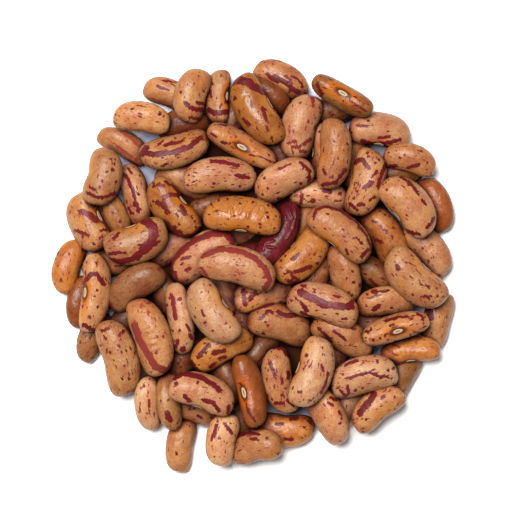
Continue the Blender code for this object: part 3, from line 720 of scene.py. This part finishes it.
def skinMaterial(name, skin):
    material, tree, shader = newMaterial(name)
    look = skinLook
    light, deep, flushed, dark = (paint(*skin[key]) for key in ("light", "deep", "flush", "streak"))
    grain = numbers(tree, "grain", "Vector")
    tone, mark, eye, sky = (numbers(tree, key) for key in ("tone", "mark", "eye", "open"))
    faded, hollow, fleck = (numbers(tree, key) for key in ("faded", "hollow", "fleck"))

    # ground colour: slow clouds, and fine streaks that run along the bean
    stretched = addNode(tree, "ShaderNodeMapping")
    tree.links.new(grain, stretched.inputs["Vector"])
    stretched.inputs["Scale"].default_value = look["stretch"]
    stretched = stretched.outputs[0]
    clouds = blot(tree, grain, *look["clouds"])
    ground = blendColours(tree, ramp(tree, clouds, *look["cloudRange"]), light, deep)
    blush = blot(tree, grain, *look["blush"])
    ground = blendColours(tree, ramp(tree, blush, *look["blushRange"]), ground, flushed)
    fibres = blot(tree, stretched, *look["fibres"])
    ground = blendColours(tree, ramp(tree, fibres, *look["fibreRange"]), ground, deep)
    mottle = ramp(tree, blot(tree, grain, *look["mottle"]), *look["mottleRange"], smooth=False)
    ground = blendColours(tree, 1.0, ground, mottle, way="MULTIPLY")
    bright = ramp(tree, tone, *look["toneRange"], smooth=False)
    ground = blendColours(tree, 1.0, ground, bright, way="MULTIPLY")

    # amber flush along the side that the eye is on, then the zone and the ring round the eye
    flush = sums(tree, "ADD", hollow, ramp(tree, blush, *look["flushSpread"]))
    ground = blendColours(tree, ramp(tree, flush, *look["flushRange"]), ground, flushed)
    ground = blendColours(tree, ramp(tree, eye, *look["zoneRange"]), ground, paint(*look["eyeZone"]))
    ground = blendColours(tree, ramp(tree, eye, *look["ringRange"]), ground, paint(*look["eyeRing"]))

    # dark streaks, feathered along the bean, and tiny flecks in drifts
    feathers = blot(tree, stretched, *look["feathers"])
    edge = sums(tree, "ADD", mark, ramp(tree, feathers, *look["featherRange"], smooth=False))
    drift = sums(tree, "MULTIPLY", clouds, look["tinyDrift"])
    drift = sums(tree, "ADD", blot(tree, stretched, *look["tiny"]), drift)
    drift = sums(tree, "ADD", drift, fleck)
    inside = sums(tree, "MAXIMUM", ramp(tree, edge, *look["streakEdge"]),
                  ramp(tree, drift, *look["tinyEdge"]))
    lifted = paint(*[c * look["streakLift"] for c in skin["streak"]])
    streak = blendColours(tree, ramp(tree, clouds, *look["streakTone"]), dark, lifted)
    streak = blendColours(tree, faded, streak, paint(*look["fadedStreak"]))
    colour = blendColours(tree, inside, ground, streak)

    # shade between the beans, warm because light reaches it off other beans
    lit = ramp(tree, sky, 0.0, shelter["full"], shelter["low"], 1.0, smooth=False)
    warm = addNode(tree, "ShaderNodeCombineColor")
    fill(tree, warm.inputs, (lit, *(sums(tree, "POWER", lit, shelter[key]) for key in ("green", "blue"))))
    colour = blendColours(tree, 1.0, colour, warm.outputs[0], way="MULTIPLY")
    tree.links.new(colour, shader.inputs["Base Color"])

    # soft sheen broken up by the skin's puckers and fine grain
    pores = blot(tree, grain, *look["pores"])
    dull = ramp(tree, pores, *look["poreRange"], skin["sheen"] - look["sheenBelow"],
                skin["sheen"] + look["sheenAbove"])
    dull = sums(tree, "ADD", dull, sums(tree, "MULTIPLY", inside, look["streakDull"]))
    dull = sums(tree, "ADD", dull, ramp(tree, sky, *look["shadeDull"]))
    tree.links.new(dull, shader.inputs["Roughness"])
    puckers = blot(tree, grain, *look["puckers"])
    relief = sums(tree, "ADD", puckers, sums(tree, "MULTIPLY", pores, look["poreShare"]))
    raiseSkin(tree, shader, relief, skin["pucker"], look["bumpHeight"])
    shader.inputs["IOR"].default_value = look["ior"]
    shader.inputs["Specular IOR Level"].default_value = look["gloss"]
    return material


unrolling = {"margin": 0.02, "wide": 1.3}  # each bean's own cell of the unrolled skin


def joinArrays(name, parts, material):
    # one mesh from many grids: each part gives points, faces, unrolled places and its numbers per point
    points = np.vstack([part["points"] for part in parts])
    sizes, corners, maps = [], [], []
    base = 0
    columns = math.ceil(math.sqrt(len(parts) * unrolling["wide"]))
    rows = math.ceil(len(parts) / columns)
    for number, part in enumerate(parts):
        cell = np.array([number % columns, number // columns])
        for faces, onSkin in ((part["quads"], part["quadMap"]), (part["fans"], part["fanMap"])):
            sizes.append(np.full(len(faces), faces.shape[1]))
            corners.append((faces + base).ravel())
            inCell = onSkin.reshape(-1, 2) * (1 - 2 * unrolling["margin"]) + unrolling["margin"]
            maps.append((inCell + cell) / (columns, rows))
        base += len(part["points"])
    sizes, corners, maps = np.concatenate(sizes), np.concatenate(corners), np.vstack(maps)
    mesh = bpy.data.meshes.new(name)
    mesh.vertices.add(len(points))
    mesh.vertices.foreach_set("co", points.ravel())
    mesh.loops.add(len(corners))
    mesh.loops.foreach_set("vertex_index", corners)
    mesh.polygons.add(len(sizes))
    mesh.polygons.foreach_set("loop_start", np.concatenate([[0], np.cumsum(sizes)[:-1]]))
    mesh.update(calc_edges=True)
    unrolled = mesh.uv_layers.new(name="OFBake")
    unrolled.data.foreach_set("uv", maps.ravel())
    for key in parts[0]["numbers"]:
        values = np.concatenate([part["numbers"][key] for part in parts])
        kind, field = ("FLOAT_VECTOR", "vector") if values.ndim == 2 else ("FLOAT", "value")
        mesh.attributes.new(key, kind, "POINT").data.foreach_set(field, values.ravel())
    mesh.shade_smooth()
    mesh.materials.append(material)
    mesh.validate()
    piece = bpy.data.objects.new(name, mesh)
    bpy.context.scene.collection.objects.link(piece)
    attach(piece, "root")
    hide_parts("bean_heap")


# The eye of each bean: a small pale pad with a slot along it, sunk in the hollow side
eyePad = {
    "grid": (9, 28),
    "beanWidth": 8e-3,          # the pad's size is for a bean of this width
    "halfLength": 1.3e-3,
    "halfWidth": 0.56e-3,
    "rise": 0.16e-3,
    "crown": 0.7,               # how flat its top is
    "root": 2.5,                # how much deeper it goes than it rises
    "sunk": 0.06e-3,
    "slot": 0.14e-3,
    "slotWidth": 0.16e-3,
    "slotEnds": (1.25, 1.4),    # the slot fades out towards its ends
    "rim": (1.05, 1.1),         # the zone on the skin is measured from this much of the pad's size
    "far": 9.0,
    "eyeSide": 0.1,             # and only on the side that the eye is on
    "colour": (146, 131, 108),
    "speckColour": (158, 124, 84),
    "slotColour": (124, 105, 81),
    "specks": (3.0, 3.0),
    "speckRange": (0.35, 0.75, 0.0, 0.5),
    "slotRange": (0.15, 0.6),
    "bump": (0.3, 0.05e-3),
    "roughness": 0.6,
    "gloss": 0.2,
}

# The seeded ranges that make each bean a little different
variety = {
    "grainShift": 40,
    "eyeShift": 7.3,
    "tone": (0.3, 0.7),
    "tiny": 0.05,
    "tinyRange": (-0.4, 1.0),
}


def makeBean(number, row):
    draw = np.random.default_rng(layout["seed"] * 1000 + number)
    low = row["level"] == 0
    grid = beanGrid["foldedGrid" if "folds" in row else "lowerGrid" if low else "grid"]
    sphere = gridSphere(*grid)
    length, width = (size * layout["pixel"] for size in row["size"])
    form, outward = beanForm(sphere, length, width, draw)

    # folds and markings read from above ride with the bean to where it settled
    arm = form @ spins[number].T
    plan = (arm[:, :2] + homes[number]) * (1, -1) / layout["pixel"] + layout["middle"]
    upward = arm[:, 2]
    seenSide = upward > beanGrid["seenFrom"]
    if "folds" in row:
        ridge = np.clip(markDepth(plan, row["folds"]) / beanGrid["foldEdge"] + 0.5, 0, 1)
        form = form + outward * (beanGrid["fold"] * np.sin(ridge * math.pi / 2) ** 2 * seenSide)[:, None]
    points = form @ spins[number].T + places[number]
    points[:, 2] = np.maximum(points[:, 2], layout["offFloor"])
    mark = np.where(seenSide, markDepth(plan, row.get("marks", [])), layout["unmarked"]) * layout["pixel"]
    amount = skins[row["skin"]]["loose"]
    hidden = upward < (beanGrid["hiddenBelow"] if "marks" in row or not low else math.inf)
    mark = np.maximum(mark, seededDepth(form, draw, hidden, hiddenMarks, amount))
    mark = np.maximum(mark, seededDepth(form, draw, ~hidden, smallMarks, amount))

    # how far from the eye, where 1 is its rim
    long, wide = eyePad["rim"]
    eyeAway = np.hypot(form[:, 0] / (eyePad["halfLength"] * long),
                       form[:, 2] / (eyePad["halfWidth"] * wide))
    eyeAway = np.where(sphere[:, 1] < eyePad["eyeSide"], eyeAway, eyePad["far"])
    return {
        "points": points, **gridFaces(*grid),
        "numbers": {
            "grain": form * 1000 + draw.uniform(-variety["grainShift"], variety["grainShift"], 3),
            "tone": np.full(len(points), row.get("tone", draw.uniform(*variety["tone"]))),
            "mark": mark * 1000,
            "eye": np.minimum(eyeAway, eyePad["far"]),
            "hollow": -sphere[:, 1] * np.sqrt(np.clip(1 - beanGrid["endFade"] * sphere[:, 0] ** 2, 0, 1)),
            "faded": np.full(len(points), float(row.get("faded", 0))),
            "open": openShare(points, outward @ spins[number].T, number),
            "fleck": np.full(len(points), variety["tiny"] * (amount * draw.uniform(*variety["tinyRange"])
                                                            - (amount == 0))),
        },
    }


for skinName, skin in skins.items():
    parts = [makeBean(number, row) for number, row in enumerate(beanList) if row["skin"] == skinName]
    joinArrays(skinName + "Beans", parts, skinMaterial(skinName + "Skin", skin))
    triangles = sum(2 * len(part["quads"]) + len(part["fans"]) for part in parts)
    print(skinName, "beans made:", len(parts), "with", triangles, "triangles")


def eyeMaterial():
    material, tree, shader = newMaterial("eyePadSkin")
    slot, grain = numbers(tree, "slot"), numbers(tree, "grain", "Vector")
    specks = blot(tree, grain, *eyePad["specks"])
    colour = blendColours(tree, ramp(tree, specks, *eyePad["speckRange"]), paint(*eyePad["colour"]),
                          paint(*eyePad["speckColour"]))
    colour = blendColours(tree, ramp(tree, slot, *eyePad["slotRange"]), colour, paint(*eyePad["slotColour"]))
    tree.links.new(colour, shader.inputs["Base Color"])
    raiseSkin(tree, shader, specks, *eyePad["bump"])
    shader.inputs["Roughness"].default_value = eyePad["roughness"]
    shader.inputs["Specular IOR Level"].default_value = eyePad["gloss"]
    return material


def makeEye(number, row):
    length, width = (size * layout["pixel"] for size in row["size"])
    grow = width / eyePad["beanWidth"]
    sphere = gridSphere(*eyePad["grid"])[:, [1, 0, 2]]  # its ends point out of the bean and into it
    x = sphere[:, 0] * eyePad["halfLength"] * grow
    z = sphere[:, 2] * eyePad["halfWidth"] * grow
    along = x / (length / 2)
    flat = np.clip(z / (bluntRadius(along) * layout["thick"] * width / 2), -1, 1)
    side = np.sqrt(1 - flat**2)
    surface = (-side * bluntRadius(along) * width / 2 + bow(along, length)
               + layout["dent"] * hollowShare(along, side))
    out = sphere[:, 1] < 0
    middle, ends = eyePad["slotEnds"]
    slot = np.exp(-((z / (eyePad["slotWidth"] * grow)) ** 2))
    slot = slot * np.clip(middle - np.abs(sphere[:, 0]) * ends, 0, 1)
    rise = eyePad["rise"] * np.abs(sphere[:, 1]) ** eyePad["crown"] * np.sign(-sphere[:, 1])
    rise -= eyePad["slot"] * slot * out
    form = np.stack([x, surface - np.where(out, rise, rise * eyePad["root"]) + eyePad["sunk"], z], 1)
    points = form @ spins[number].T + places[number]
    points[:, 2] = np.maximum(points[:, 2], layout["offFloor"])
    return {
        "points": points, **gridFaces(*eyePad["grid"], flip=True),
        "numbers": {"grain": form * 1000 + number * variety["eyeShift"], "slot": slot * out},
    }


joinArrays("beanEyes", [makeEye(number, row) for number, row in enumerate(beanList)], eyeMaterial())
print("eyes set on the beans")


# What lies under the beans that show: a low bed, lumpy like the tops of more beans, its dark browns painted
# shade for the gaps between them
bed = {
    "grid": (40, 120),
    "radius": 28.5e-3,
    "ripples": ((3, 1, 0.04), (7, 0, 0.03)),  # how many round its edge, turned how far, how deep
    "height": 4.2e-3,
    "edge": 1.2e-3,
    "power": 2.4,
    "shoulder": 3,
    "under": 0.15e-3,
    "lump": 0.5e-3,
    "lumpScale": 700,
    "lumpPower": 6,
    # painted shade: dark browns for the deep gaps between the beans
    "light": (40, 18, 9),
    "deep": (16, 7, 4),
    "clouds": (0.25, 4.0),
    "cloudRange": (0.35, 0.7),
    "bump": (0.5, 0.3e-3),
    "roughness": 1.0,
    "gloss": 0.0,
}


def bedMaterial():
    material, tree, shader = newMaterial("bedShadeSkin")
    clouds = blot(tree, numbers(tree, "grain", "Vector"), *bed["clouds"])
    colour = blendColours(tree, ramp(tree, clouds, *bed["cloudRange"]), paint(*bed["deep"]),
                          paint(*bed["light"]))
    tree.links.new(colour, shader.inputs["Base Color"])
    raiseSkin(tree, shader, clouds, *bed["bump"])
    shader.inputs["Roughness"].default_value = bed["roughness"]
    shader.inputs["Specular IOR Level"].default_value = bed["gloss"]
    return material


def makeBed():
    draw = np.random.default_rng(layout["seed"])
    sphere = gridSphere(*bed["grid"])[:, [1, 2, 0]]  # its ends point up and down
    out = np.hypot(sphere[:, 0], sphere[:, 1])
    angle = np.arctan2(sphere[:, 1], sphere[:, 0])
    rippled = sum(deep * np.sin(count * angle + turn) for count, turn, deep in bed["ripples"])
    radius = bed["radius"] * out * (1 + rippled)
    top = bed["edge"] + (bed["height"] - bed["edge"]) * (1 - out ** bed["power"])
    flat = np.column_stack([radius * np.cos(angle), radius * np.sin(angle), 0 * radius])
    top = top + bed["lump"] * waves(flat, draw, bed["lumpScale"]) * (1 - out ** bed["lumpPower"])
    upper = bed["under"] + (top - bed["under"]) * np.clip(sphere[:, 2] * bed["shoulder"], 0, 1)
    points = flat + np.where(sphere[:, 2] > 0, upper, layout["offFloor"])[:, None] * (0, 0, 1)
    return {"points": points, **gridFaces(*bed["grid"]), "numbers": {"grain": points * 1000}}


joinArrays("beanBed", [makeBed()], bedMaterial())
print("bed laid under the beans")


# Floor, light and camera
studio = {
    "floor": (246, 246, 246),
    "shadedFloor": (112, 112, 130),
    "shadeEnds": (0.036, 0.041),    # the floor lightens between these distances from the middle
    "floorHalf": 1.5,
    "floorRoughness": 0.7,
    "cameraHeight": 0.60,
    "frame": 0.11128,               # metres across the picture at the level of the upper beans
    "focusLevel": 0.008,
    "sensor": 36.0,
    "clip": (0.01, 10.0),
    "sky": 0.26,
    "skyColour": (0.97, 0.98, 1.0, 1.0),
    "keyPower": 11.2,
    "keyColour": (1.0, 0.985, 0.965),
    "keySize": 0.34,
    "keyPlace": (-0.13, 0.15, 0.62),
}


def makeFloor():
    mesh = bpy.data.meshes.new("floor")
    half = studio["floorHalf"]
    mesh.from_pydata([(-half, -half, 0), (half, -half, 0), (half, half, 0), (-half, half, 0)], [],
                     [(0, 1, 2, 3)])
    floor = bpy.data.objects.new("floor", mesh)
    bpy.context.scene.collection.objects.link(floor)
    material, tree, shader = newMaterial("paleFloor")
    where = addNode(tree, "ShaderNodeNewGeometry").outputs["Position"]
    away = addNode(tree, "ShaderNodeVectorMath", operation="LENGTH")
    tree.links.new(where, away.inputs[0])
    outside = ramp(tree, away.outputs["Value"], *studio["shadeEnds"])
    colour = blendColours(tree, outside, paint(*studio["shadedFloor"]), paint(*studio["floor"]))
    tree.links.new(colour, shader.inputs["Base Color"])
    shader.inputs["Roughness"].default_value = studio["floorRoughness"]
    mesh.materials.append(material)


def makeLight():
    lamp = bpy.data.lights.new("softKey", "AREA")
    lamp.shape = "DISK"
    lamp.size = studio["keySize"]
    lamp.energy = studio["keyPower"]
    lamp.color = studio["keyColour"]
    key = bpy.data.objects.new("softKey", lamp)
    key.location = studio["keyPlace"]
    key.rotation_euler = (-Vector(studio["keyPlace"])).to_track_quat("-Z", "Y").to_euler()
    bpy.context.scene.collection.objects.link(key)
    world = bpy.data.worlds.new("softSky")
    world.use_nodes = True
    world.node_tree.nodes["Background"].inputs["Color"].default_value = studio["skyColour"]
    world.node_tree.nodes["Background"].inputs["Strength"].default_value = studio["sky"]
    bpy.context.scene.world = world


def makeCamera():
    eye = bpy.data.cameras.new("camera")
    eye.sensor_width = eye.sensor_height = studio["sensor"]
    eye.sensor_fit = "HORIZONTAL"
    eye.lens = studio["sensor"] * (studio["cameraHeight"] - studio["focusLevel"]) / studio["frame"]
    eye.clip_start, eye.clip_end = studio["clip"]
    camera = bpy.data.objects.new("camera", eye)
    camera.location = (0, 0, studio["cameraHeight"])
    bpy.context.scene.collection.objects.link(camera)
    bpy.context.scene.camera = camera


makeFloor()
makeLight()
makeCamera()
bpy.context.scene.view_settings.view_transform = "Standard"
print("floor, light and camera set")
